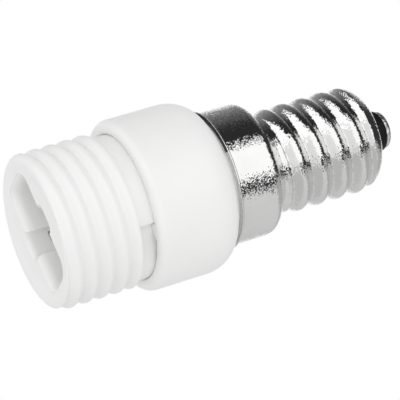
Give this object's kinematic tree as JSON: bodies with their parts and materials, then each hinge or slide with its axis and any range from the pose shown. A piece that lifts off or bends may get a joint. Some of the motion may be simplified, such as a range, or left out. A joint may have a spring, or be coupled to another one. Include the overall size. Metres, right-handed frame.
{
  "type": "lamp socket adapter",
  "caption": "Lamp socket adapter with a small screw cap at one end and a threaded bi-pin lamp socket at the other, joined by a round collar.",
  "frame": {"origin": "centre of the socket's rim, which the adapter stands on", "axes": "+Z along the adapter's axis from the rim to the centre contact, X along the long side of the socket's mouth"},
  "size_m": [0.022, 0.022, 0.0498],
  "materials": {
    "white_plastic": "satin moulded heat-resistant plastic",
    "nickel_plate": "satin nickel plate on brass sheet",
    "black_insulator": "moulded insulator",
    "spring_strip": "plated bronze strip",
    "wire_sleeve": "silicone sleeve on tinned wire"
  },
  "bodies": {
    "root": {"socket_body": "white_plastic", "collar": "white_plastic", "screw_shell": "nickel_plate", "tip_insulator": "black_insulator", "centre_contact": "nickel_plate", "live_clip": "spring_strip", "neutral_clip": "spring_strip", "live_lead": "wire_sleeve", "neutral_lead": "wire_sleeve"}
  },
  "joints": []
}
